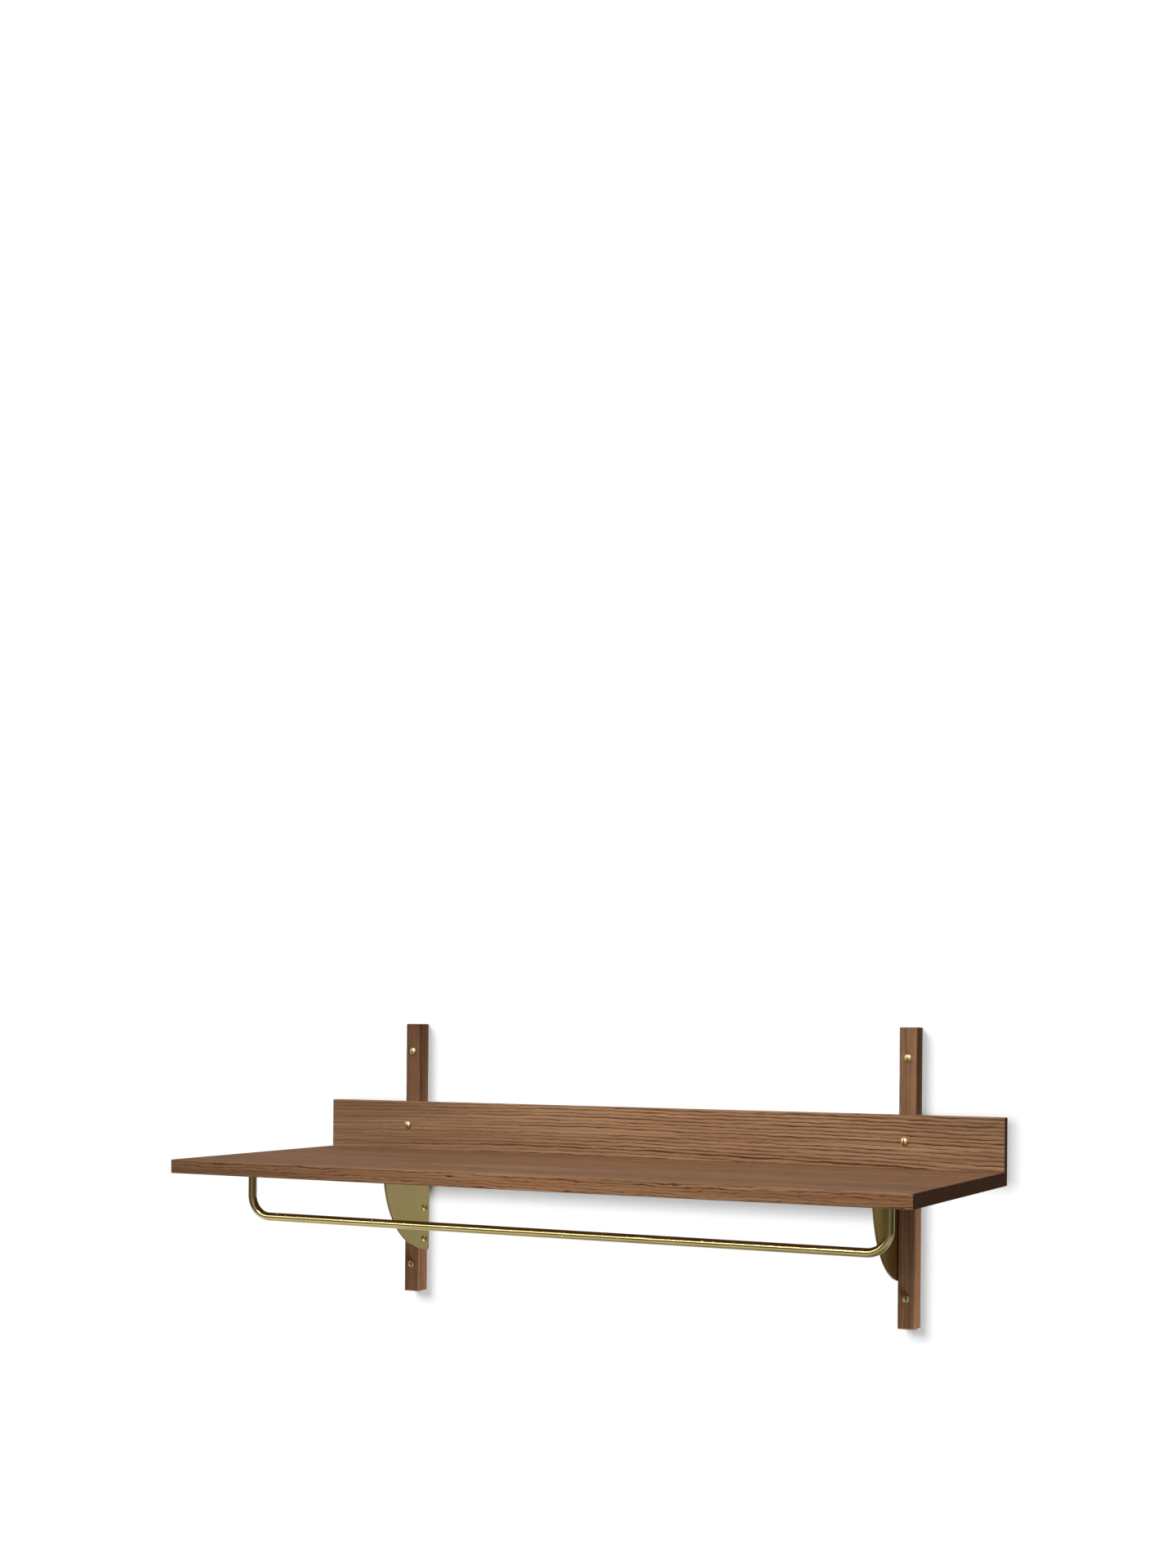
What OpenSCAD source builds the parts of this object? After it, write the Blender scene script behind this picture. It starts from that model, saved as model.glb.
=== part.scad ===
// Wall shelf: a shelf board and a back board on two battens, held by two
// sector brackets, with a hanging rail under the front of the shelf.
// Millimetres. +X runs along the shelf, +Y points into the wall, +Z is up.
// The origin is the middle of the four wall screws, on the wall's surface.

/* [Shelf and back board] */
// Length of the shelf board and of the back board
shelf_w = 870; // [820:5:1000]
// Distance from the wall to the front edge of the shelf
shelf_reach = 356; // [320:1:420]
// Thickness of the shelf board
shelf_t = 15.5; // [14:0.5:22]
// Thickness of the back board
board_t = 11.5; // [10:0.5:16]
// Height that the back board stands above the shelf
board_rise = 59; // [45:1:90]
// Height of the shelf's underside above the middle of the wall screws
shelf_under_z = -3.5; // [-10:0.5:10]

/* [Uprights] */
// Distance between the centre lines of the two uprights
upright_pitch = 645; // [580:5:700]
// Width of an upright, along the shelf
upright_w = 20.5; // [18:0.5:28]
// Depth of an upright, out from the wall
upright_d = 21; // [18:0.5:28]
// Length of an upright
upright_h = 336; // [330:1:380]
// Distance from an upright's end to its wall screw
wall_screw_inset = 34.5; // [20:0.5:40]

/* [Brackets] */
// Radius of the bracket's curved edge
bracket_r = 108; // [100:1:115]
// Thickness of the bracket's plate
plate_t = 2.5; // [2:0.5:4]
// Width of the flange that is bent under the shelf
flange_w = 22; // [16:1:30]
// Height of the bracket's upper side screw, below the shelf's underside
side_screw_drop = 59; // [40:1:62]
// Distance between the bracket's two side screws
side_screw_pitch = 39; // [20:1:42]

/* [Hanging rail] */
// Diameter of the rail's rod
rail_d = 9.5; // [8:0.5:12]
// Distance between the centre lines of the rail's two legs
rail_span = 769; // [700:1:800]
// Distance from the wall to the rail's centre line
rail_reach = 270; // [200:1:300]
// Drop from the shelf's underside to the centre line of the rail's run
rail_drop = 52.5; // [45:0.5:80]
// Radius of the rail's bends, at the centre line
rail_bend_r = 24; // [18:1:35]

/* [Screws and joints] */
// Diameter of the domed screw heads
head_d = 8.4; // [7:0.2:10]
// Height of the domed screw heads
head_h = 2.6; // [2:0.1:3.5]
// Length of a wall screw under its head
wall_screw_l = 60; // [45:1:80]
// Outer diameter of a wall screw's thread
wall_screw_d = 4.5; // [4:0.5:5]
// Outer diameter of the thread of the other screws
wood_screw_d = 3.5; // [3:0.5:4]
// Share of the shelf's length that the row of five dowels takes up
dowel_row = 0.82; // [0.7:0.01:0.9]
// Diameter of a dowel
dowel_d = 6; // [5:0.5:7]

/* [Hidden] */
$fn = 64;
// Rounding of the edges of the boards and of the uprights
board_edge_r = 1;
upright_edge_r = 1.5;
// Play between a piece and the hole it sits in
play = 0.1;
// Play of a screw in a hole that it passes through freely
free_play = 0.4;
// Overshoot that keeps cuts clear of the faces they open
over = 1;

// Shelf and back board
board_front = upright_d + board_t;
shelf_d = shelf_reach - board_front;
shelf_top_z = shelf_under_z + shelf_t;
board_top_z = shelf_top_z + board_rise;
board_h = board_top_z - shelf_under_z;
board_screw_z = (shelf_top_z + board_top_z) / 2;

// Uprights
upright_x = upright_pitch / 2;
upright_side_x = upright_x - upright_w / 2;
wall_screw_z = upright_h / 2 - wall_screw_inset;

// Brackets. The arc ends below the shelf, where the flange's bend begins.
arc_drop = 5.5;
arc_behind = 4;
wall_gap = 0.5;
corner_r = 3;
bend_inner_r = 1.5;
bend_outer_r = bend_inner_r + plate_t;
arc_z = shelf_under_z - arc_drop;
plate_front = bracket_r - arc_behind;
corner_y = -wall_gap - corner_r;
corner_z = arc_z - sqrt(pow(bracket_r - corner_r, 2) - pow(arc_behind - corner_y, 2));
flange_rear_gap = 2;
flange_front_gap = 4;
flange_rear = board_front + flange_rear_gap;
flange_front = plate_front - flange_front_gap;
bend_relief = 1.5;
bend_l = plate_front - flange_rear + bend_relief + over;
side_screw_y = 11.5;
side_screw_zs = [for (i = [0:1]) shelf_under_z - side_screw_drop - i * side_screw_pitch];
flange_screw_x = (bend_outer_r + flange_w) / 2;
flange_screw_inset = 14;
flange_screw_ys = [flange_rear + flange_screw_inset, flange_front - flange_screw_inset];

// Hanging rail and the sockets that its legs stand in
rail_r = rail_d / 2;
rail_z = shelf_under_z - rail_drop;
rail_x = rail_span / 2;
socket_r = rail_r + 1.6;
socket_h = 11;
socket_floor = 1.5;
leg_in = socket_h - socket_floor - play;

// Screws
head_r = head_d / 2;
head_rim = 0.6;
dome_r = (pow(head_r, 2) + pow(head_h - head_rim, 2)) / (2 * (head_h - head_rim));
slot_w = 1.2;
slot_depth = 1.3;
tip_l = 6;
tip_r = 0.3;
// Diameter of a screw's smooth shank, as a share of its thread's
shank_share = 0.85;
// Length of a wood screw that is in the piece that it grips
upright_grip = 13.5;
shelf_grip = 9.5;
board_screw_l = board_t + upright_grip;
side_screw_l = plate_t + upright_grip;
flange_screw_l = plate_t + shelf_grip;
// Angles that the slots under the shelf were left at
flange_slot_turns = [20, 70];

// Dowels
dowel_l = 22;
dowel_in_board = 7;
dowel_pitch = shelf_w * dowel_row / 4;
dowel_xs = [for (i = [-2:2]) i * dowel_pitch];
dowel_z = shelf_under_z + shelf_t / 2;

oak = "#8a6347";
satin_brass = "#93855a";
bright_brass = "#c9b26c";
beech = "#d8b98c";
steel = "#a9abad";

// ---------------------------------------------------------------- shared shapes

// Rectangle with rounded corners, centred
module rounded_rectangle(a, b, r) {
    square([a - 2 * r, b], center = true);
    square([a, b - 2 * r], center = true);
    for (x = [-1, 1], y = [-1, 1])
        translate([x * (a / 2 - r), y * (b / 2 - r)]) circle(r = r);
}

// Piece of timber from its lowest corner, with all its edges eased
module timber(size, r) {
    translate(size / 2) intersection() {
        linear_extrude(size[2], center = true) rounded_rectangle(size[0], size[1], r);
        rotate([90, 0, 0]) linear_extrude(size[1], center = true)
            rounded_rectangle(size[0], size[2], r);
        rotate([90, 0, 90]) linear_extrude(size[0], center = true)
            rounded_rectangle(size[1], size[2], r);
    }
}

// Side of the shelf: -1 is the left, 1 is the right
module on_side(side) {
    mirror([side > 0 ? 0 : 1, 0, 0]) children();
}

// Turns a shape that is drawn along +Z so that it runs along +Y
module along_y() {
    rotate([-90, 0, 0]) children();
}

// Domed head with a straight slot. It stands on z = 0 and points to -Z.
module domed_head() {
    difference() {
        rotate_extrude() {
            translate([0, -head_rim]) square([head_r, head_rim]);
            intersection() {
                translate([0, dome_r - head_h]) circle(r = dome_r);
                translate([0, -head_h]) square([head_r, head_h - head_rim]);
            }
        }
        translate([-head_r - over, -slot_w / 2, -head_h - over])
            cube([2 * (head_r + over), slot_w, slot_depth + over]);
    }
}

// Slotted wood screw with its head on z = 0 and its point towards +Z.
// The slot runs along X. The shank is smooth where it passes through a piece.
module slotted_screw(length, d, shank_l) {
    domed_head();
    cylinder(h = shank_l, d = d * shank_share);
    translate([0, 0, shank_l]) cylinder(h = length - tip_l - shank_l, d = d);
    translate([0, 0, length - tip_l]) cylinder(h = tip_l, r1 = d / 2, r2 = tip_r);
}

// Hole for such a screw, from a little above z = 0 to just past its point
module screw_hole(length, d, gap) {
    translate([0, 0, -over]) cylinder(h = length + 2 * over, d = d + 2 * gap);
}

// ---------------------------------------------------------------- places of the screws

module at_wall_screw(side, up) {
    translate([side * upright_x, -upright_d, up * wall_screw_z]) along_y()
        rotate(90) children();
}

module at_board_screw(side) {
    translate([side * upright_x, -board_front, board_screw_z]) along_y()
        rotate(90) children();
}

// The side screws enter the upright from the middle of the shelf.
module at_side_screw(side, i) {
    on_side(side) translate([upright_side_x - plate_t, -side_screw_y, side_screw_zs[i]])
        rotate([0, 90, 0]) children();
}

module at_flange_screw(side, i) {
    on_side(side)
        translate([upright_side_x - flange_screw_x, -flange_screw_ys[i], shelf_under_z - plate_t])
        rotate(flange_slot_turns[i]) children();
}

// ---------------------------------------------------------------- timber

module upright(side) {
    color(oak) difference() {
        translate([side * upright_x - upright_w / 2, -upright_d, -upright_h / 2])
            timber([upright_w, upright_d, upright_h], upright_edge_r);
        for (up = [-1, 1])
            at_wall_screw(side, up) screw_hole(upright_d, wall_screw_d, free_play);
        at_board_screw(side) screw_hole(board_screw_l, wood_screw_d, play);
        for (i = [0:1])
            at_side_screw(side, i) screw_hole(side_screw_l, wood_screw_d, play);
    }
}

module back_board() {
    color(oak) difference() {
        translate([-shelf_w / 2, -board_front, shelf_under_z])
            timber([shelf_w, board_t, board_h], board_edge_r);
        for (side = [-1, 1])
            at_board_screw(side) screw_hole(board_t, wood_screw_d, free_play);
        dowel_holes();
    }
}

module shelf_board() {
    color(oak) difference() {
        translate([-shelf_w / 2, -shelf_reach, shelf_under_z])
            timber([shelf_w, shelf_d, shelf_t], board_edge_r);
        for (side = [-1, 1]) {
            for (i = [0:1])
                at_flange_screw(side, i) screw_hole(flange_screw_l, wood_screw_d, play);
            translate([side * rail_x, -rail_reach, shelf_under_z - over])
                cylinder(h = socket_h + over, r = socket_r + play);
        }
        dowel_holes();
    }
}

module dowel(i) {
    color(beech) translate([dowel_xs[i], -board_front + dowel_in_board - dowel_l, dowel_z])
        along_y() cylinder(h = dowel_l, d = dowel_d);
}

module dowel_holes() {
    for (x = dowel_xs)
        translate([x, -board_front + dowel_in_board - dowel_l - over / 2, dowel_z])
            along_y() cylinder(h = dowel_l + over, d = dowel_d + 2 * play);
}

// ---------------------------------------------------------------- brackets

// Waste outside the rounded corner at the bottom of the bracket's wall edge
module corner_waste() {
    lean = atan2(arc_behind - corner_y, arc_z - corner_z);
    difference() {
        polygon([
            [corner_y, corner_z],
            [over, corner_z],
            [over, corner_z - 2 * corner_r],
            [corner_y - 2 * corner_r * tan(lean), corner_z - 2 * corner_r]
        ]);
        translate([corner_y, corner_z]) circle(r = corner_r);
    }
}

// Outline of the sector plate, with X out from the wall's surface and Y up
module sector_outline() {
    difference() {
        intersection() {
            union() {
                translate([arc_behind, arc_z]) circle(r = bracket_r, $fn = 128);
                translate([-plate_front, arc_z]) square([plate_front, arc_drop]);
            }
            translate([-plate_front, arc_z - bracket_r])
                square([plate_front - wall_gap, bracket_r + arc_drop]);
        }
        corner_waste();
    }
}

// Quarter-round bend and flange, seen from the end, with the plate's face on x = 0
module flange_profile() {
    intersection() {
        translate([bend_outer_r, -bend_outer_r]) difference() {
            circle(r = bend_outer_r);
            circle(r = bend_inner_r);
        }
        translate([0, -bend_outer_r]) square([bend_outer_r, bend_outer_r]);
    }
    translate([bend_outer_r, -plate_t]) square([flange_w - bend_outer_r, plate_t]);
}

module bracket(side) {
    color(satin_brass) difference() {
        on_side(side) mirror([1, 0, 0]) translate([-upright_side_x, 0, 0]) {
            difference() {
                rotate([90, 0, 90]) linear_extrude(plate_t) sector_outline();
                translate([-over, -plate_front - over, shelf_under_z - bend_outer_r])
                    cube([plate_t + 2 * over, bend_l, bend_outer_r + over]);
            }
            translate([0, -flange_rear, shelf_under_z]) rotate([90, 0, 0])
                linear_extrude(flange_front - flange_rear) flange_profile();
        }
        for (i = [0:1]) {
            at_side_screw(side, i) screw_hole(plate_t, wood_screw_d, free_play);
            at_flange_screw(side, i) screw_hole(plate_t, wood_screw_d, free_play);
        }
    }
}

// ---------------------------------------------------------------- hanging rail

module hanging_rail() {
    leg_l = rail_drop - rail_bend_r + leg_in;
    run = rail_span - 2 * rail_bend_r;
    color(satin_brass) translate([0, -rail_reach, 0]) {
        translate([-run / 2, 0, rail_z]) rotate([0, 90, 0]) cylinder(h = run, r = rail_r);
        for (side = [-1, 1]) on_side(side) {
            translate([run / 2, 0, rail_z + rail_bend_r]) rotate([90, 0, 0])
                rotate([0, 0, -90]) rotate_extrude(angle = 90)
                translate([rail_bend_r, 0]) circle(r = rail_r);
            translate([rail_x, 0, rail_z + rail_bend_r]) cylinder(h = leg_l, r = rail_r);
        }
    }
}

module rail_socket(side) {
    color(steel) translate([side * rail_x, -rail_reach, shelf_under_z]) difference() {
        cylinder(h = socket_h - play, r = socket_r);
        translate([0, 0, -over])
            cylinder(h = socket_h - socket_floor + over, r = rail_r + play / 2);
    }
}

// ---------------------------------------------------------------- screws

module wall_screw(side, up) {
    color(bright_brass) at_wall_screw(side, up)
        slotted_screw(wall_screw_l, wall_screw_d, upright_d);
}

module board_screw(side) {
    color(bright_brass) at_board_screw(side)
        slotted_screw(board_screw_l, wood_screw_d, board_t);
}

module side_screw(side, i) {
    color(bright_brass) at_side_screw(side, i)
        slotted_screw(side_screw_l, wood_screw_d, plate_t);
}

module flange_screw(side, i) {
    color(bright_brass) at_flange_screw(side, i)
        slotted_screw(flange_screw_l, wood_screw_d, plate_t);
}

// ---------------------------------------------------------------- nodes

upright(-1);  // left_upright
upright(1);  // right_upright
back_board();
shelf_board();
bracket(-1);  // left_bracket
bracket(1);  // right_bracket
hanging_rail();
rail_socket(-1);  // left_rail_socket
rail_socket(1);  // right_rail_socket
wall_screw(-1, 1);  // wall_screw_left_top
wall_screw(-1, -1);  // wall_screw_left_bottom
wall_screw(1, 1);  // wall_screw_right_top
wall_screw(1, -1);  // wall_screw_right_bottom
board_screw(-1);  // board_screw_left
board_screw(1);  // board_screw_right
side_screw(-1, 0);  // side_screw_left_top
side_screw(-1, 1);  // side_screw_left_bottom
side_screw(1, 0);  // side_screw_right_top
side_screw(1, 1);  // side_screw_right_bottom
flange_screw(-1, 0);  // flange_screw_left_rear
flange_screw(-1, 1);  // flange_screw_left_front
flange_screw(1, 0);  // flange_screw_right_rear
flange_screw(1, 1);  // flange_screw_right_front
dowel(0);  // dowel_1
dowel(1);  // dowel_2
dowel(2);  // dowel_3
dowel(3);  // dowel_4
dowel(4);  // dowel_5
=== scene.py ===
import math

import bmesh
import bpy
from mathutils import Matrix, Vector


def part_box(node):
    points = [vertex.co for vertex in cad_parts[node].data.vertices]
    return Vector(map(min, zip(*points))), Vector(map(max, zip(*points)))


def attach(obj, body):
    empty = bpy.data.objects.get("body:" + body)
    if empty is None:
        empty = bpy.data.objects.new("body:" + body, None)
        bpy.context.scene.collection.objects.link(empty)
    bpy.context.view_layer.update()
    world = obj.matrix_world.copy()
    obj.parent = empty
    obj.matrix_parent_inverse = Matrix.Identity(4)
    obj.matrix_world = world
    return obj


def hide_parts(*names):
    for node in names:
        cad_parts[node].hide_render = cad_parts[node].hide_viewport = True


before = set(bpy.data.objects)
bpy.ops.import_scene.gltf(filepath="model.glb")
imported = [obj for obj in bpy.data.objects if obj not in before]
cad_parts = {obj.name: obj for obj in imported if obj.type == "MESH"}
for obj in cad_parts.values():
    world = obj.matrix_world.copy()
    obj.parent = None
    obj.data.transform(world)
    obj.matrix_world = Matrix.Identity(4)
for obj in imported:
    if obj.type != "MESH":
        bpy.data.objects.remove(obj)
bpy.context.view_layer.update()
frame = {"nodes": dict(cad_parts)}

MM = 0.001
X, Y, Z = Vector((1, 0, 0)), Vector((0, 1, 0)), Vector((0, 0, 1))

# Camera, as a turn about the vertical, a roll, a lens and an upward shift
CAMERA_PLACE = Vector((0.9973, -2.1419, 0.1636))
CAMERA_TURN = 26.849
CAMERA_ROLL = 0.447
CAMERA_LENS = 45.415
CAMERA_SHIFT = 0.1561

# Screws: the head, its slot, and the threads' diameters
HEAD_R = 4.2 * MM
HEAD_H = 2.6 * MM
HEAD_RIM = 1.5 * MM
SLOT_W = 1.3 * MM
SLOT_DEPTH = 1.5 * MM
WALL_THREAD_D = 4.5 * MM
WOOD_THREAD_D = 3.5 * MM
SCREW_SIDES = 48

# Brackets' sheet, and the rail's bends at their centre line
PLATE_T = 2.5 * MM
RAIL_BEND_R = 24 * MM
RAIL_SIDES = 56

# Studio: the floor's height, how far its papers reach, and how much light they give back
FLOOR_Z = -1.1
PAPER_REACH = 6.0
PAPER_GREY = 0.12


# ------------------------------------------------------------------ shader graphs

class Graph:
    """A material's or a world's nodes, with short calls that add and link them."""

    def __init__(self, name, kind="materials", shader="Principled BSDF"):
        self.owner = getattr(bpy.data, kind).new(name)
        self.owner.use_nodes = True
        self.tree = self.owner.node_tree
        self.shader = self.tree.nodes[shader]

    def feed(self, socket, value):
        if isinstance(value, bpy.types.NodeSocket):
            self.tree.links.new(value, socket)
        else:
            socket.default_value = value

    def node(self, kind, inputs=(), **settings):
        made = self.tree.nodes.new("ShaderNode" + kind)
        for key, value in settings.items():
            setattr(made, key, value)
        for socket, value in dict(inputs).items():
            self.feed(made.inputs[socket], value)
        return made

    def set(self, **values):
        """Sets the shader's sockets, with _ for the spaces in their names."""
        for name, value in values.items():
            self.feed(self.shader.inputs[name.replace("_", " ")], value)

    def math(self, operation, a, b=0.0, clamp=False):
        return self.node("Math", {0: a, 1: b}, operation=operation, use_clamp=clamp).outputs[0]

    def add(self, a, b):
        return self.math("ADD", a, b)

    def times(self, a, b):
        return self.math("MULTIPLY", a, b)

    def span(self, value, low, high, to_low=0.0, to_high=1.0):
        """value's range low..high carried over to to_low..to_high, and held at its ends."""
        inputs = {"Value": value, "From Min": low, "From Max": high, "To Min": to_low, "To Max": to_high}
        return self.node("MapRange", inputs).outputs[0]

    def split(self, vector):
        return list(self.node("SeparateXYZ", {0: vector}).outputs)

    def join(self, x, y, z):
        return self.node("CombineXYZ", {0: x, 1: y, 2: z}).outputs[0]

    def place(self):
        """The point on the object, in metres."""
        return self.node("TexCoord").outputs["Object"]

    def stretched(self, parts, scales, shift=0.0):
        """A point whose parts are scaled one by one."""
        scaled = [self.times(part, scale) for part, scale in zip(parts, scales)]
        return self.join(self.add(scaled[0], shift), scaled[1], scaled[2])

    def noise(self, vector, scale=1.0, detail=2.0, roughness=0.5):
        inputs = {"Vector": vector, "Scale": scale, "Detail": detail, "Roughness": roughness}
        return self.node("TexNoise", inputs).outputs[0]

    def ramp(self, factor, stops):
        """Curve through (place, height) stops, as one number."""
        made = self.node("ValToRGB", {0: factor})
        elements = made.color_ramp.elements
        while len(elements) < len(stops):
            elements.new(1.0)
        for element, (position, height) in zip(elements, stops):
            element.position = position
            element.color = (height, height, height, 1.0)
        return self.node("RGBToBW", {0: made.outputs[0]}).outputs[0]

    def course(self, share, heights):
        """heights spread evenly over 0..1, as one number."""
        peak, last = max(heights), len(heights) - 1
        stops = [(i / last, height / peak) for i, height in enumerate(heights)]
        return self.times(self.ramp(share, stops), peak)

    def blend(self, factor, a, b, how="MIX"):
        made = self.node("Mix", data_type="RGBA", blend_type=how)
        sockets = [made.inputs[0], made.inputs[6], made.inputs[7]]
        for socket, value in zip(sockets, (factor, a, b)):
            self.feed(socket, (*value, 1.0) if isinstance(value, tuple) else value)
        return made.outputs[2]

    def bump(self, height, distance, strength=1.0):
        inputs = {"Height": height, "Distance": distance, "Strength": strength}
        return self.node("Bump", inputs).outputs[0]


def near_edge(g, parts, node, width):
    """1 on the edges of a piece of timber and 0 from width inwards."""
    low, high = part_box(node)
    middle, half = (low + high) / 2, (high - low) / 2
    depths = []
    for part, centre, reach in zip(parts, middle, half):
        offset = g.math("ABSOLUTE", g.math("SUBTRACT", part, centre))
        depths.append(g.math("SUBTRACT", reach, offset))
    least = g.math("MINIMUM", depths[0], depths[1])
    most = g.math("MAXIMUM", depths[0], depths[1])
    second = g.math("MAXIMUM", least, g.math("MINIMUM", most, depths[2]))
    return g.span(second, 0.0, width, 1.0, 0.0)


# ------------------------------------------------------------------ timber

OAK_LIGHT = (0.400, 0.234, 0.125)
OAK_MIDDLE = (0.268, 0.141, 0.073)
OAK_DARK = (0.060, 0.023, 0.010)


def oak(
    node, grain, pith, ring, lean=(0.0, 0.0), crest=0.0, lines=(1.0, 1.0), tone_and_shade=(1.0, 1.0),
    wave=1.3, pace=0.6, tint=(1.0, 1.0, 1.0), front_tone_and_light=(0.0, 1.0, (1.0, 1.0)), seed=0.0,
):
    """Smoked oak as a solid: growth rings round a line through pith, along the grain's axis.
    The line leans away behind the face with one slope before crest and another after it, so
    that the rings arch. lines and the tone are strengths along the grain, from its low end to
    its high end; the tone is partly the wood's own and partly painted shade. wave is the rings'
    ripple in millimetres, and pace how uneven their spacing is. The front strip is (start, end,
    tones): up to start behind the front the timber has tones of its own, which fade out towards
    end; they are partly tone and partly painted light and shade, which make the front face
    lighter or darker than the top and sides."""
    g = Graph(node + "_oak")
    place = g.split(g.place())
    along, across, up = place[grain], place[1], place[2 - grain]
    parts = (along, across, up)
    low, high = (corner[grain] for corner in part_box(node))
    share = g.span(along, low, high)
    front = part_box(node)[0].y
    bow, drifting = 60 * MM, 4 * MM

    drift = g.noise(g.stretched(parts, (3.0, 9, 9), seed), detail=1.5)
    ripple = g.noise(g.stretched(parts, (34, 150, 150), seed), detail=2.0, roughness=0.55)
    past = g.math("SUBTRACT", along, crest)
    reach = g.math("SQRT", g.add(g.times(past, past), bow ** 2))
    before, after = g.math("SUBTRACT", reach, past), g.add(reach, past)
    depth = g.add(g.times(before, lean[0] / 2), g.times(after, lean[1] / 2))
    side = g.add(g.math("SUBTRACT", pith[0], across), depth)
    height = g.math("SUBTRACT", up, pith[1])
    radius = g.math("SQRT", g.add(g.times(side, side), g.times(height, height)))
    radius = g.add(radius, g.span(drift, 0, 1, -drifting, drifting))
    radius = g.add(radius, g.span(ripple, 0, 1, -wave * MM, wave * MM))
    rings = g.times(radius, 1 / ring)
    uneven = g.node("TexNoise", {"W": g.times(rings, 0.31), "Detail": 1.0}, noise_dimensions="1D")
    rings = g.add(rings, g.times(uneven.outputs[0], pace))
    phase = g.math("FRACT", rings)
    year = g.node("TexWhiteNoise", {"W": g.math("FLOOR", rings)}, noise_dimensions="1D").outputs[0]

    fibre = g.noise(g.stretched(parts, (13, 800, 800), seed), detail=3.0, roughness=0.6)
    gaps = g.noise(g.stretched(parts, (30, 420, 420), seed + 9), detail=2.0)
    streak = g.noise(g.stretched(parts, (4, 190, 190), seed), detail=2.0)
    pores = g.noise(g.stretched(parts, (105, 2500, 2500), seed), detail=1.0)
    early = g.ramp(phase, [(0.0, 0.0), (0.1, 1.0), (0.26, 0.85), (0.44, 0.15), (0.93, 0.0)])
    line = g.times(early, g.span(year, 0, 1, 0.75, 1.15))
    line = g.times(line, g.span(gaps, 0.34, 0.52, 0.55, 1.0))
    line = g.times(line, g.span(fibre, 0.3, 0.7, 0.7, 1.2))
    normal = g.split(g.node("TexCoord").outputs["Normal"])
    flat = g.add(g.times(normal[1], side), g.times(normal[2 - grain], g.times(height, -1.0)))
    flat = g.math("DIVIDE", g.math("ABSOLUTE", flat), radius)
    line = g.times(line, g.span(flat, 0.5, 0.95, 1.0, 0.45))
    line = g.math("MULTIPLY", line, g.course(share, lines), clamp=True)
    pore = g.times(g.span(pores, 0.56, 0.7), g.span(early, 0, 1, 0.35, 1.0))

    body = g.blend(g.span(streak, 0.32, 0.68), OAK_LIGHT, OAK_MIDDLE)
    body = g.blend(g.span(fibre, 0.4, 0.75, 0.0, 0.8), body, OAK_MIDDLE)
    colour = g.blend(line, body, OAK_DARK)
    colour = g.blend(g.times(pore, 0.5), colour, OAK_DARK)
    cloud = g.span(g.noise(g.stretched(parts, (1.6, 9, 9), seed + 5)), 0.25, 0.75, 0.9, 1.1)
    # Tone along the grain: partly the wood's own tone, partly painted shade.
    cloud = g.times(cloud, g.course(share, tone_and_shade))
    # Painted light and shade, partly tone of its own: the front strip makes the front face, and a strip
    # behind it, lighter or darker than the rest.
    start, end, front_tones_and_light = front_tone_and_light
    half = (end - start) / 2
    edge = g.add(across, g.span(drift, 0, 1, -half, half))
    cloud = g.times(cloud, g.span(edge, front + start, front + end, g.course(share, front_tones_and_light), 1.0))
    colour = g.blend(1.0, colour, g.join(*(g.times(cloud, part) for part in tint)), "MULTIPLY")
    end_grain = g.span(g.math("ABSOLUTE", normal[grain]), 0.6, 0.9)
    colour = g.blend(g.times(end_grain, 0.75), colour, OAK_DARK)
    worn = g.times(near_edge(g, place, node, 1.2 * MM), g.span(fibre, 0.3, 0.7, 0.05, 0.4))
    colour = g.blend(g.times(worn, g.math("SUBTRACT", 1.0, end_grain)), colour, OAK_LIGHT)

    roughness = g.add(g.span(fibre, 0.3, 0.7, 0.5, 0.6), g.times(g.add(line, pore), 0.1))
    relief = g.add(g.times(line, -0.5), g.add(g.times(pore, -1.0), g.times(fibre, 0.35)))
    g.set(Base_Color=colour, Roughness=roughness, Normal=g.bump(relief, 0.12 * MM, 0.6))
    g.set(Specular_IOR_Level=0.05)
    return g.owner


def beech():
    """Plain beech with flecks, along the local Z axis."""
    g = Graph("beech")
    parts = g.split(g.place())
    fleck = g.noise(g.stretched(parts, (2600, 2600, 260)), detail=2.0)
    bands = g.noise(g.stretched(parts, (420, 420, 18)), detail=2.0)
    colour = g.blend(g.span(bands, 0.3, 0.7), (0.66, 0.47, 0.29), (0.52, 0.34, 0.19))
    colour = g.blend(g.span(fleck, 0.55, 0.7, 0.0, 0.5), colour, (0.30, 0.17, 0.08))
    g.set(Base_Color=colour, Roughness=g.span(fleck, 0.3, 0.7, 0.5, 0.66))
    g.set(Normal=g.bump(fleck, 0.05 * MM, 0.5))
    return g.owner


# ------------------------------------------------------------------ metal

# Dark colour for dirt and for painted shade on metal.
TARNISH_AND_SHADE = (0.05, 0.035, 0.015)


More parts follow.
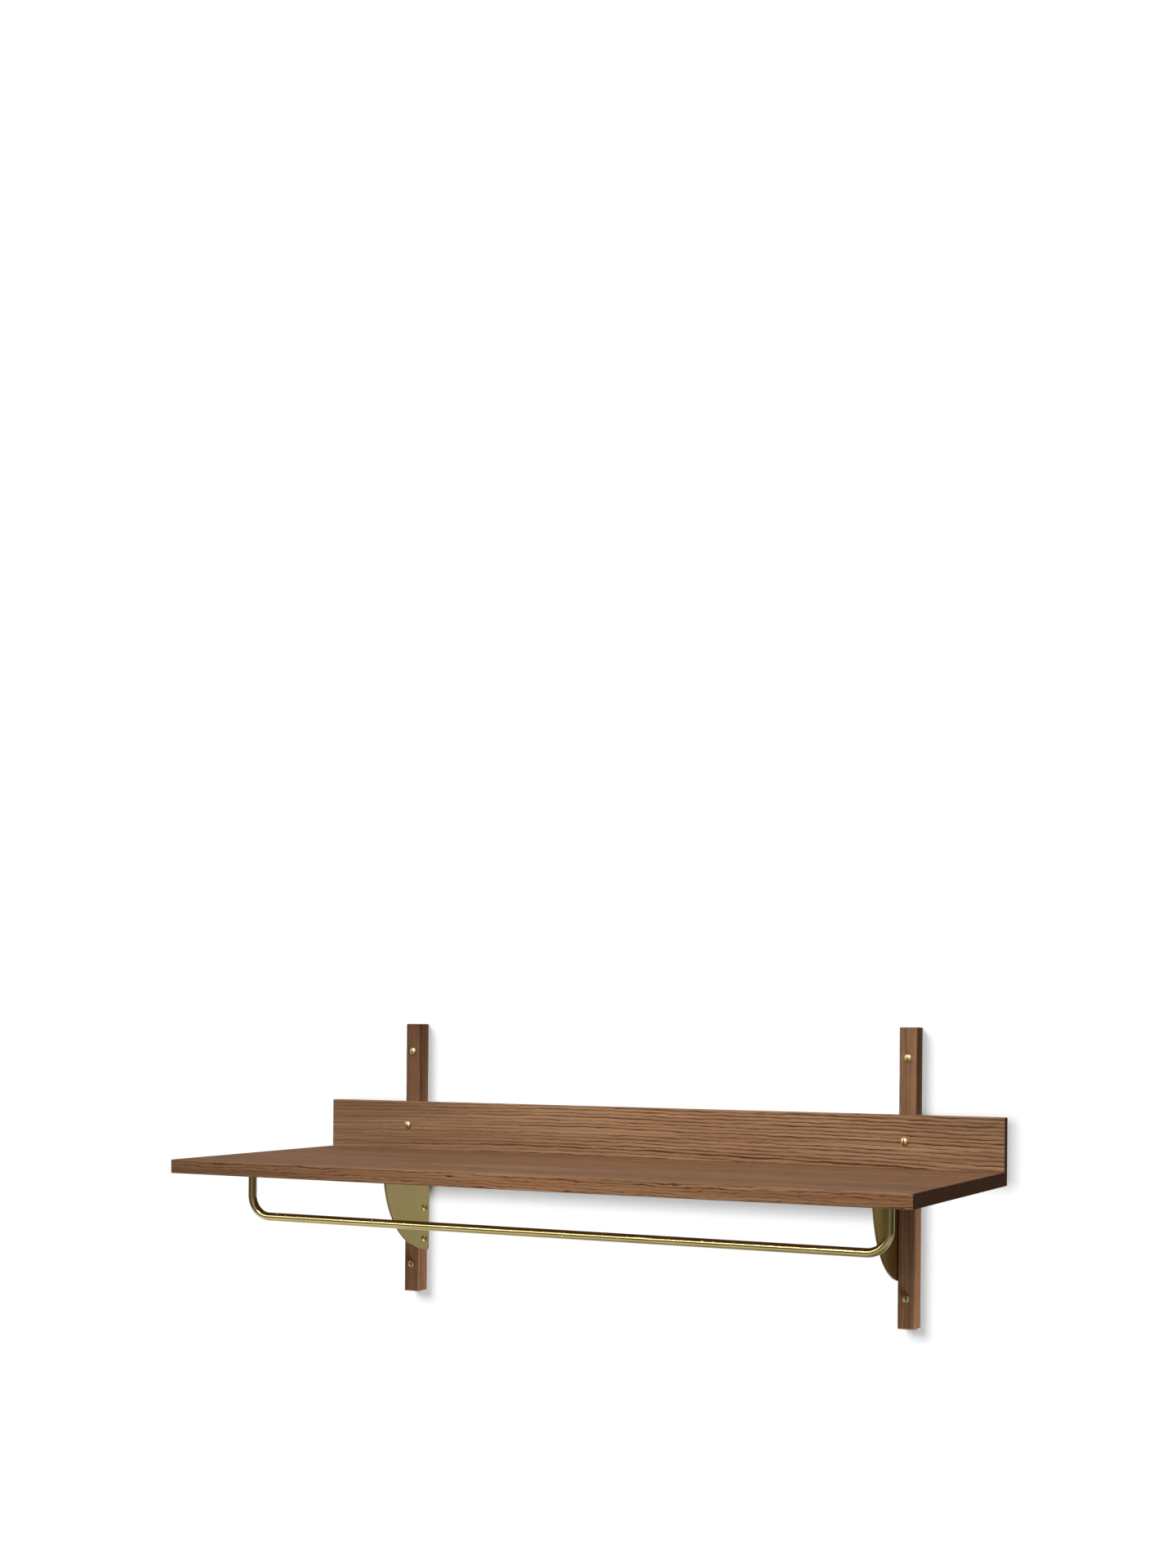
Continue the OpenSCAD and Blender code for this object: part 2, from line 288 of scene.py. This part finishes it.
def metal(name, clean, dull, roughness, fine, clouds=22.0, lacquer=0.0, dirt_and_shade=None, relief=0.35):
    """A metal with its colour from clean to dull in soft clouds. fine is the pattern of its
    surface, relief how strongly it shows, and the darkening mask says where the metal is darkened, for
    dirt and for painted shade."""
    g = Graph(name)
    cloud = g.noise(g.place(), clouds, detail=3.0)
    pattern = fine(g)
    colour = g.blend(g.span(cloud, 0.3, 0.75), clean, dull)
    colour = g.blend(g.span(pattern, 0.5, 0.8, 0.0, 0.35), colour, dull)
    # Darkening for dirt and for painted shade, towards a dark colour.
    if dirt_and_shade:
        colour = g.blend(g.times(dirt_and_shade(g), 0.7), colour, TARNISH_AND_SHADE)
    spread = g.add(g.span(cloud, 0.2, 0.8, -0.04, 0.05), g.span(pattern, 0.2, 0.8, -0.05, 0.05))
    g.set(Base_Color=colour, Roughness=g.add(spread, roughness))
    g.set(Metallic=1.0, Normal=g.bump(pattern, 0.02 * MM, relief))
    g.set(Coat_Weight=lacquer, Coat_Roughness=0.18)
    return g.owner


def blasted(g):
    """Fine even grain of a blasted and lacquered plate."""
    return g.noise(g.place(), 2400.0, detail=2.0, roughness=0.6)


def drawn(g):
    """Fine lines along a rod, from its map of distance along and turn around."""
    u, v, _ = g.split(g.node("UVMap", uv_map="rod").outputs[0])
    turn = g.times(v, 2 * math.pi)
    round_trip = (g.math("COSINE", turn), g.math("SINE", turn), u)
    return g.noise(g.stretched(round_trip, (14, 14, 9)), detail=4.0, roughness=0.7)


def slot_dirt_and_shade(g):
    """1 in a screw's slot, along the local X axis, and 0 outside. It marks dirt and painted shade in the
    recess.
    """
    _, y, z = g.split(g.place())
    spill, seat = 0.05 * MM, 0.5 * MM
    inside = g.math("LESS_THAN", g.math("ABSOLUTE", y), SLOT_W / 2 + spill)
    return g.times(inside, g.math("LESS_THAN", z, -seat))


def cut_edge_shade(g):
    """1 on a bracket's cut edge below its flange, and 0 elsewhere. It marks painted shade that darkens
    the edge.
    """
    height = g.split(g.place())[2]
    flange_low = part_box("shelf_board")[0].z - PLATE_T
    facing = g.math("ABSOLUTE", g.split(g.node("TexCoord").outputs["Normal"])[0])
    return g.times(g.span(facing, 0.75, 0.5), g.math("LESS_THAN", height, flange_low - 0.2 * MM))


def turned(g):
    """Rings that a lathe leaves round the local Z axis."""
    x, y, z = g.split(g.place())
    radius = g.math("SQRT", g.add(g.times(x, x), g.times(y, y)))
    return g.noise(g.stretched((radius, z, x), (5200, 3800, 120)), detail=2.0)


# ------------------------------------------------------------------ meshes

def new_piece(name, mesh, material, replaced=None, matrix=None, smooth_below=35):
    """Puts a mesh in the scene as a piece of the shelf."""
    if not mesh.materials:
        mesh.materials.append(material)
        mesh.shade_smooth()
        mesh.set_sharp_from_angle(angle=math.radians(smooth_below))
    made = bpy.data.objects.new(name, mesh)
    bpy.context.scene.collection.objects.link(made)
    if matrix is not None:
        made.matrix_world = matrix
    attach(made, "root")
    if replaced:
        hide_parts(replaced)
    return made


def mesh_from(bm, name):
    """The finished mesh of a bmesh, with its faces turned outwards."""
    bmesh.ops.recalc_face_normals(bm, faces=bm.faces)
    mesh = bpy.data.meshes.new(name)
    bm.to_mesh(mesh)
    bm.free()
    return mesh


def baked(mesh, *modifiers):
    """The mesh with (type, settings) modifiers applied."""
    made = bpy.data.objects.new("bench", mesh)
    bpy.context.scene.collection.objects.link(made)
    for kind, settings in modifiers:
        modifier = made.modifiers.new(kind, kind)
        for key, value in settings.items():
            setattr(modifier, key, value)
    view = bpy.context.evaluated_depsgraph_get()
    result = bpy.data.meshes.new_from_object(made.evaluated_get(view))
    bpy.data.objects.remove(made)
    result.name = mesh.name
    return result


def ring(bm, radius, z, sides, rise=0.0):
    """Vertices round the Z axis. They climb by rise over a full turn."""
    turns = [i / sides for i in range(sides)]
    return [
        bm.verts.new((
            radius * math.cos(2 * math.pi * t),
            radius * math.sin(2 * math.pi * t),
            z + rise * t,
        ))
        for t in turns
    ]


def skin(bm, first, second):
    """Faces between two closed rings."""
    count = len(first)
    for i in range(count):
        j = (i + 1) % count
        bm.faces.new((first[i], first[j], second[j], second[i]))


def cap(bm, loop, point):
    """Fan of triangles from a closed loop to a point."""
    tip = bm.verts.new(point)
    for i, corner in enumerate(loop):
        bm.faces.new((corner, loop[(i + 1) % len(loop)], tip))


def lathe(bm, profile, sides):
    """Solid of revolution about Z. profile is (radius, z) points, and starts and ends on the axis."""
    rings = [ring(bm, radius, z, sides) for radius, z in profile[1:-1]]
    for first, second in zip(rings, rings[1:]):
        skin(bm, first, second)
    cap(bm, rings[0], (0, 0, profile[0][1]))
    cap(bm, rings[-1], (0, 0, profile[-1][1]))


# ------------------------------------------------------------------ screws

def screw_head():
    """Slotted dome. It stands on z = 0 and points to -Z."""
    rim_ease, slot_ease = 0.1 * MM, 0.09 * MM
    dome_h = HEAD_H - HEAD_RIM
    dome_r = (HEAD_R ** 2 + dome_h ** 2) / (2 * dome_h)
    opening = math.asin(HEAD_R / dome_r)
    profile = [(0, 0), (HEAD_R - rim_ease, 0), (HEAD_R, -rim_ease), (HEAD_R, -HEAD_RIM)]
    steps = 14
    for i in range(1, steps + 1):
        angle = opening * (1 - i / steps)
        profile.append((dome_r * math.sin(angle), dome_r * (1 - math.cos(angle)) - HEAD_H))
    bm = bmesh.new()
    lathe(bm, profile, SCREW_SIDES)
    solid = mesh_from(bm, "screw_head")
    bm = bmesh.new()
    cut = bmesh.ops.create_cube(bm, size=1.0)["verts"]
    bmesh.ops.scale(bm, verts=cut, vec=(3 * HEAD_R, SLOT_W, 2 * SLOT_DEPTH))
    bmesh.ops.translate(bm, verts=cut, vec=(0, 0, -HEAD_H))
    cutter = bpy.data.objects.new("cutter", mesh_from(bm, "cutter"))
    bpy.context.scene.collection.objects.link(cutter)
    cutting = {"operation": "DIFFERENCE", "solver": "EXACT", "object": cutter}
    easing = {"width": slot_ease, "segments": 2, "limit_method": "ANGLE", "angle_limit": math.radians(30)}
    result = baked(solid, ("BOOLEAN", cutting), ("BEVEL", easing))
    bpy.data.objects.remove(cutter)
    return result


def shank(bm, length, thread_d, plain_l):
    """Smooth shank, then a helical thread that ends in a gimlet point."""
    pitch = thread_d * 0.42
    smooth_r, crest_r, root_r = thread_d * 0.425, thread_d * 0.5, thread_d * 0.33
    taper = 1.5 * thread_d
    tooth = [(0.0, 0), (0.3, 0), (0.46, 1), (0.52, 1), (0.74, 0)]  # (share of the pitch, height)
    hidden = 0.3 * MM
    top = ring(bm, smooth_r, -hidden, SCREW_SIDES)
    neck = ring(bm, smooth_r, plain_l, SCREW_SIDES)
    skin(bm, top, neck)
    cap(bm, top, (0, 0, -hidden))

    start = plain_l + 0.2 * pitch
    turns = int((length - start) / pitch) - 1
    rows = []
    for turn in range(turns):
        for share, height in tooth:
            row = []
            for side in range(SCREW_SIDES):
                part = side / SCREW_SIDES
                z = start + pitch * (turn + share + part)
                to_tip = min(1.0, (length - z) / taper)
                rise = min(1.0, max(0.0, (z - start) / (1.5 * pitch)))
                core = root_r + (smooth_r - root_r) * (1 - rise)
                radius = (core + (crest_r - root_r) * height * rise) * max(0.08, to_tip)
                angle = 2 * math.pi * part
                row.append(bm.verts.new((radius * math.cos(angle), radius * math.sin(angle), z)))
            rows.append(row)
    teeth, last = len(tooth), len(rows) - 1
    for side in range(SCREW_SIDES - 1):
        bm.faces.new((neck[side], neck[side + 1], rows[0][side + 1], rows[0][side]))
        for i in range(last):
            bm.faces.new((rows[i][side], rows[i][side + 1], rows[i + 1][side + 1], rows[i + 1][side]))
    slit = [rows[i][0] for i in range(teeth + 1)]
    bm.faces.new([neck[-1], neck[0], *slit, rows[0][-1]])
    for i in range(last - teeth):
        bm.faces.new((rows[i][-1], rows[i + teeth][0], rows[i + teeth + 1][0], rows[i + 1][-1]))
    end_slit = [rows[i][-1] for i in range(last - 1, last - teeth - 1, -1)]
    cap(bm, [*rows[last], *end_slit], (0, 0, length))


def screw_mesh(name, head, length, thread_d, plain_l):
    """A shank with a head on its top."""
    bm = bmesh.new()
    shank(bm, length, thread_d, plain_l)
    bmesh.ops.recalc_face_normals(bm, faces=bm.faces)
    bm.from_mesh(head)
    mesh = bpy.data.meshes.new(name)
    bm.to_mesh(mesh)
    bm.free()
    return mesh


def add_screws(nodes, head, tip, slot_way, thread_d, plain_l, material):
    """Screws of one kind, with their tips and their slots along the directions given."""
    mesh = None
    axis = max(range(3), key=lambda i: abs(tip[i]))
    for node in nodes:
        low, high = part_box(node)
        length = high[axis] - low[axis] - HEAD_H
        mesh = mesh or screw_mesh(nodes[0] + "_screw", head, length, thread_d, plain_l)
        place = (low + high) / 2
        place[axis] = low[axis] + HEAD_H if tip[axis] > 0 else high[axis] - HEAD_H
        turn = Matrix((slot_way, tip.cross(slot_way), tip)).transposed().to_4x4()
        matrix = Matrix.Translation(place) @ turn
        new_piece(node + "_detail", mesh, material, node, matrix)


def add_all_screws():
    brass = metal(
        "turned_brass", (0.90, 0.75, 0.36), (0.76, 0.61, 0.26), 0.42, turned,
        clouds=300.0, dirt_and_shade=slot_dirt_and_shade)
    head = screw_head()
    sides = ("left", "right")
    ends = ("top", "bottom")
    upright_low, upright_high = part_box("left_upright")
    board_low, board_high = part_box("back_board")
    depth = upright_high.y - upright_low.y
    board_t = board_high.y - board_low.y
    wall = [f"wall_screw_{side}_{end}" for side in sides for end in ends]
    board = [f"board_screw_{side}" for side in sides]
    add_screws(wall, head, Y, Z, WALL_THREAD_D, depth, brass)
    add_screws(board, head, Y, Z, WOOD_THREAD_D, board_t, brass)
    for side, inward in (("left", -X), ("right", X)):
        names = [f"side_screw_{side}_{end}" for end in ends]
        add_screws(names, head, inward, Z, WOOD_THREAD_D, PLATE_T, brass)
    for end, angle in (("rear", 20), ("front", 70)):
        slot_way = X * math.cos(math.radians(angle)) + Y * math.sin(math.radians(angle))
        names = [f"flange_screw_{side}_{end}" for side in sides]
        add_screws(names, head, Z, slot_way, WOOD_THREAD_D, PLATE_T, brass)


# ------------------------------------------------------------------ rail, sockets, dowels and brackets

def rail_path():
    """Centre line of the hanging rail, from the top of the left leg to the top of the right leg."""
    low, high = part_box("hanging_rail")
    radius = (high.y - low.y) / 2
    bend = RAIL_BEND_R
    y, bottom = (low.y + high.y) / 2, low.z + radius
    left, right = low.x + radius, high.x - radius
    steps = 28
    points = [Vector((left, y, high.z)), Vector((left, y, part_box("shelf_board")[0].z))]
    for centre_x, first in ((left + bend, 180), (right - bend, 270)):
        for i in range(steps + 1):
            angle = math.radians(first + 90 * i / steps)
            points.append(Vector((
                centre_x + bend * math.cos(angle), y, bottom + bend + bend * math.sin(angle),
            )))
    points += [Vector((right, y, points[1].z)), Vector((right, y, high.z))]
    return points, radius


def hanging_rail():
    """The bent rod with chamfered ends, and a map of distance along and turn around."""
    points, radius = rail_path()
    sides, chamfer = RAIL_SIDES, 0.6 * MM
    count = len(points)
    bm = bmesh.new()
    rows, lengths, travelled = [], [], 0.0
    for i, point in enumerate(points):
        before, after = points[max(i - 1, 0)], points[min(i + 1, count - 1)]
        forward = (after - before).normalized()
        outward = forward.cross(Y).normalized()
        travelled += (point - before).length
        shares = [1.0]
        if i in (0, count - 1):
            shares = [(radius - chamfer) / radius, 1.0]
        if i == count - 1:
            shares.reverse()
        for share in shares:
            inset = chamfer if share == 1.0 and len(shares) == 2 else 0.0
            centre = point + forward * (inset if i == 0 else -inset)
            row = []
            for side in range(sides):
                angle = 2 * math.pi * side / sides
                spoke = outward * math.cos(angle) + Y * math.sin(angle)
                row.append(bm.verts.new(centre + spoke * radius * share))
            rows.append(row)
            lengths.append(travelled)
    rod_map = bm.loops.layers.uv.new("rod")
    for i, (first, second) in enumerate(zip(rows, rows[1:])):
        for side in range(sides):
            after = (side + 1) % sides
            face = bm.faces.new((first[side], first[after], second[after], second[side]))
            start, end = lengths[i], lengths[i + 1]
            corners = [(start, side), (start, side + 1), (end, side + 1), (end, side)]
            for loop, (u, v) in zip(face.loops, corners):
                loop[rod_map].uv = (u, v / sides)
    cap(bm, rows[0], points[0])
    cap(bm, rows[-1], points[-1])
    brass = metal(
        "drawn_brass", (0.72, 0.59, 0.25), (0.58, 0.475, 0.18), 0.15, drawn, lacquer=0.4, relief=0.08)
    mesh = mesh_from(bm, "hanging_rail_tube")
    new_piece("hanging_rail_tube", mesh, brass, "hanging_rail")


def fluted_dowels():
    """Beech dowels with glue flutes and chamfered ends."""
    flutes, per_flute, depth, chamfer = 16, 4, 0.22 * MM, 0.8 * MM
    wood = beech()
    mesh = None
    for node in sorted(name for name in frame["nodes"] if name.startswith("dowel_")):
        low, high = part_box(node)
        length, radius = high.y - low.y, (high.z - low.z) / 2
        if mesh is None:
            bm = bmesh.new()
            sides = flutes * per_flute
            rows = []
            small = radius - chamfer
            ends = [(0, small), (chamfer, radius), (length - chamfer, radius), (length, small)]
            for z, reach in ends:
                row = ring(bm, reach, z, sides)
                for i in range(0, sides, per_flute):
                    row[i].co.xy *= 1 - depth / reach
                rows.append(row)
            for first, second in zip(rows, rows[1:]):
                skin(bm, first, second)
            cap(bm, rows[0], (0, 0, 0))
            cap(bm, rows[-1], (0, 0, length))
            mesh = mesh_from(bm, "fluted_dowel")
        place = Vector(((low.x + high.x) / 2, low.y, (low.z + high.z) / 2))
        turn = Matrix((X, Y.cross(X), Y)).transposed().to_4x4()
        new_piece(node + "_fluted", mesh, wood, node, Matrix.Translation(place) @ turn)


def soften(node, width):
    """Eases the sharp edges of a sheet-metal or turned CAD piece."""
    part = frame["nodes"][node]
    weld = part.modifiers.new("weld", "WELD")
    weld.merge_threshold = 0.001 * MM
    bevel = part.modifiers.new("bevel", "BEVEL")
    bevel.width, bevel.segments = width, 3
    bevel.limit_method, bevel.angle_limit = "ANGLE", math.radians(40)
    bevel.harden_normals = True


def paint(node, material):
    """Gives a CAD piece its material."""
    part = frame["nodes"][node]
    part.data.materials.clear()
    part.data.materials.append(material)


def finish_cad_pieces():
    """Materials and eased edges for the pieces that keep their CAD meshes."""
    paint("back_board", oak(
        "back_board", 0, (-0.0125, -0.040), 3.9 * MM, lean=(0.035, 0.055), crest=-0.03,
        lines=(0.35, 1.15, 1.15), tone_and_shade=(0.78, 1.22, 0.95), wave=1.7, tint=(1.0, 1.01, 1.02), seed=3.0))
    # The front strip paints light and shade on the shelf's front edge, partly as tone of its own.
    paint("shelf_board", oak(
        "shelf_board", 0, (0.150, -0.500), 2.3 * MM,
        lines=(1.0, 1.2, 1.25), tone_and_shade=(0.72, 0.83, 0.76), wave=2.6, tint=(1.0, 0.91, 0.83),
        front_tone_and_light=(4 * MM, 31 * MM, (0.70, 1.32, 1.05)), seed=11.0))
    # Painted light and shade: the tone and the front strip give the front face and the sides different
    # brightness, low down and high up.
    paint("left_upright", oak(
        "left_upright", 2, (0.060, -0.250), 2.3 * MM,
        lines=(0.8, 0.8), tone_and_shade=(0.86, 0.65), wave=1.8, pace=1.3, tint=(1.0, 0.89, 0.89),
        front_tone_and_light=(0.5 * MM, 2.5 * MM, (1.16, 0.78)), seed=23.0))
    # Painted shade: the tone darkens the upright towards its top and the front strip keeps its front face
    # lighter, so the sides above the shelf look shaded.
    paint("right_upright", oak(
        "right_upright", 2, (0.060, 0.420), 2.3 * MM,
        lines=(0.9, 0.9), tone_and_shade=(0.84, 0.78, 0.6, 0.38, 0.38), wave=1.8, pace=1.3, tint=(1.0, 0.95, 0.96),
        front_tone_and_light=(0.5 * MM, 2.5 * MM, (1.42, 0.94, 0.9, 2.5, 2.5)), seed=31.0))
    # Painted shade darkens the brackets' cut edges.
    plate = metal("satin_brass", (0.62, 0.495, 0.2), (0.56, 0.44, 0.17), 0.28, blasted, dirt_and_shade=cut_edge_shade)
    zinc = metal("zinc_plate", (0.58, 0.59, 0.60), (0.44, 0.45, 0.47), 0.34, turned)
    for side in ("left", "right"):
        paint(side + "_bracket", plate)
        soften(side + "_bracket", 0.3 * MM)
        paint(side + "_rail_socket", zinc)
        soften(side + "_rail_socket", 0.15 * MM)


# ------------------------------------------------------------------ studio

def paper(name, grey):
    """Matt paper that can't be seen from its back, so that it hides nothing from there."""
    g = Graph(name)
    tooth = g.noise(g.place(), 900.0, detail=3.0)
    g.set(Base_Color=(grey, grey, grey, 1.0), Roughness=0.9, Specular_IOR_Level=0.0)
    g.set(Normal=g.bump(tooth, 0.02 * MM, 0.2))
    clear = g.node("BsdfTransparent")
    behind = g.node("NewGeometry").outputs["Backfacing"]
    sheet = g.node("MixShader", {0: behind, 1: g.shader.outputs[0], 2: clear.outputs[0]})
    g.tree.links.new(sheet.outputs[0], g.tree.nodes["Material Output"].inputs[0])
    return g.owner


def backdrop(name, corners, material):
    """A stage plane that only the camera sees, so that it doesn't shade the shelf."""
    mesh = bpy.data.meshes.new(name)
    mesh.from_pydata(corners, [], [(0, 1, 2, 3)])
    mesh.materials.append(material)
    made = bpy.data.objects.new(name, mesh)
    bpy.context.scene.collection.objects.link(made)
    made.visible_diffuse = False
    made.visible_glossy = False
    made.visible_transmission = False
    made.visible_shadow = False
    return made


def linked(name, pieces, state="INCLUDE"):
    """Collection of the pieces that a lamp lights or leaves out, or that cast its shadows."""
    made = bpy.data.collections.new(name)
    for piece in pieces:
        made.objects.link(piece)
    for item in made.collection_objects:
        item.light_linking.link_state = state
    return made


def sun(name, azimuth, elevation, strength, softness, colour=(1.0, 1.0, 1.0)):
    """Soft lamp from a direction. Azimuth 0 is in front of the shelf and positive is to the right."""
    data = bpy.data.lights.new(name, "SUN")
    data.energy, data.angle, data.color = strength, math.radians(softness), colour
    lamp = bpy.data.objects.new(name, data)
    a, e = math.radians(azimuth), math.radians(elevation)
    towards = Vector((math.sin(a) * math.cos(e), -math.cos(a) * math.cos(e), math.sin(e)))
    lamp.rotation_mode = "QUATERNION"
    lamp.rotation_quaternion = towards.to_track_quat("Z", "Y")
    bpy.context.scene.collection.objects.link(lamp)
    return lamp.light_linking


def room():
    """Soft light from all round, dim near the horizon and dimmed further low on the right.
    The camera sees it as plain white."""
    g = Graph("soft_room", "worlds", "Background")
    across, _, rise = g.split(g.node("TexCoord").outputs["Generated"])
    low_right = g.times(g.span(across, -0.55, 0.0), g.span(rise, 0.0, -0.15))
    below = [(0.0, 0.35), (0.07, 0.4), (0.16, 0.9), (0.28, 0.76), (0.38, 0.12)]
    above = [(0.57, 0.09), (0.66, 0.6), (1.0, 0.76)]
    strength = g.ramp(g.span(rise, -1, 1), below + above)
    strength = g.times(strength, g.span(low_right, 0, 1, 1.0, 0.5))
    seen = g.node("LightPath").outputs["Is Camera Ray"]
    g.set(Color=(1, 1, 1, 1), Strength=g.add(g.times(strength, g.span(seen, 0, 1, 1, 0)), seen))
    bpy.context.scene.world = g.owner


def middle_x(node):
    low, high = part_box(node)
    return (low.x + high.x) / 2


def papers():
    """The wall in three panels that meet behind the uprights, and the floor."""
    white = paper("white_paper", PAPER_GREY)
    low, reach = FLOOR_Z, PAPER_REACH
    left, right = middle_x("left_upright"), middle_x("right_upright")
    panels = [
        backdrop(name, [(x0, 0, low), (x1, 0, low), (x1, 0, reach), (x0, 0, reach)], white)
        for name, x0, x1 in (
            ("wall_left", -reach, left), ("wall_middle", left, right), ("wall_right", right, reach))
    ]
    square = [(-reach, -reach), (reach, -reach), (reach, reach), (-reach, reach)]
    floor = backdrop("studio_floor", [(x, y, low) for x, y in square], white)
    return panels, floor


def piece_lamps(panels, floor):
    """The key light, which leaves out the papers and the brackets, and lamps for single pieces."""
    parts = frame["nodes"]
    uprights = [parts["left_upright"], parts["right_upright"]]
    left_bracket, right_bracket = parts["left_bracket"], parts["right_bracket"]
    sockets = [parts["left_rail_socket"], parts["right_rail_socket"]]
    rail = bpy.data.objects["hanging_rail_tube"]
    white, cream, amber = (1.0, 1.0, 1.0), (1.0, 0.88, 0.6), (1.0, 0.88, 0.2)
    unlit = [*panels, floor, left_bracket, right_bracket]
    sun("key", -14, 30, 2.3, 10).receiver_collection = linked("key_unlit", unlit, "EXCLUDE")
    for name, azimuth, elevation, strength, softness, colour, lit in (
        ("low_fill", 75, -60, 4.85, 20, white, [*uprights, left_bracket, *sockets]),
        ("wall_bounce", 148, -5, 0.13, 40, white, [rail, left_bracket]),
        ("warm_bounce", 152, 0, 0.04, 30, amber, [right_bracket]),
        ("left_glint", -40, 18, 0.13, 20, white, [rail]),
        ("middle_glint", -27, 20, 0.17, 20, white, [rail]),
        ("leg_glow", 13, -6, 0.11, 60, cream, [rail]),
    ):
        lamp = sun(name, azimuth, elevation, strength, softness, colour)
        lamp.receiver_collection = linked(name + "_lit", lit)


def paper_lamps(panels, floor):
    """Each paper's own lamps. Their blockers are the pieces whose shadow falls on that paper."""
    parts = frame["nodes"]
    uprights = [parts["left_upright"], parts["right_upright"]]
    back_board, shelf_board = [parts["back_board"]], [parts["shelf_board"]]
    left, middle, right = ([panel] for panel in panels)
    for name, azimuth, elevation, strength, softness, lit, blockers in (
        ("left_side_wash", -24, 29, 16.7, 32, left, uprights),
        ("left_front_wash", -5, 7, 13.0, 40, left, back_board),
        ("middle_side_wash", -24, 29, 15.4, 32, middle, uprights),
        ("middle_front_wash", 0, 7.2, 13.85, 3.6, middle, shelf_board),
        ("right_side_wash", -24, 29, 16.7, 32, right, uprights),
        ("right_front_wash", -5, 7, 13.0, 40, right, back_board),
        ("floor_wash", 0, 90, 28, 10, [floor], uprights),
    ):
        wash = sun(name, azimuth, elevation, strength, softness)
        wash.receiver_collection = linked(name + "_lit", lit)
        wash.blocker_collection = linked(name + "_blockers", blockers)


def studio():
    panels, floor = papers()
    room()
    piece_lamps(panels, floor)
    paper_lamps(panels, floor)
    bpy.context.scene.view_settings.view_transform = "Standard"


def camera():
    """Camera without pitch and a little rolled, with its lens shifted up."""
    data = bpy.data.cameras.new("camera")
    data.lens, data.sensor_width, data.shift_y = CAMERA_LENS, 36.0, CAMERA_SHIFT
    made = bpy.data.objects.new("camera", data)
    turn = Matrix.Rotation(math.radians(CAMERA_TURN), 4, "Z")
    level = Matrix.Rotation(math.radians(90), 4, "X")
    roll = Matrix.Rotation(math.radians(CAMERA_ROLL), 4, "Z")
    made.matrix_world = Matrix.Translation(CAMERA_PLACE) @ turn @ level @ roll
    bpy.context.scene.collection.objects.link(made)
    bpy.context.scene.camera = made


camera()
finish_cad_pieces()
hanging_rail()
add_all_screws()
fluted_dowels()
studio()
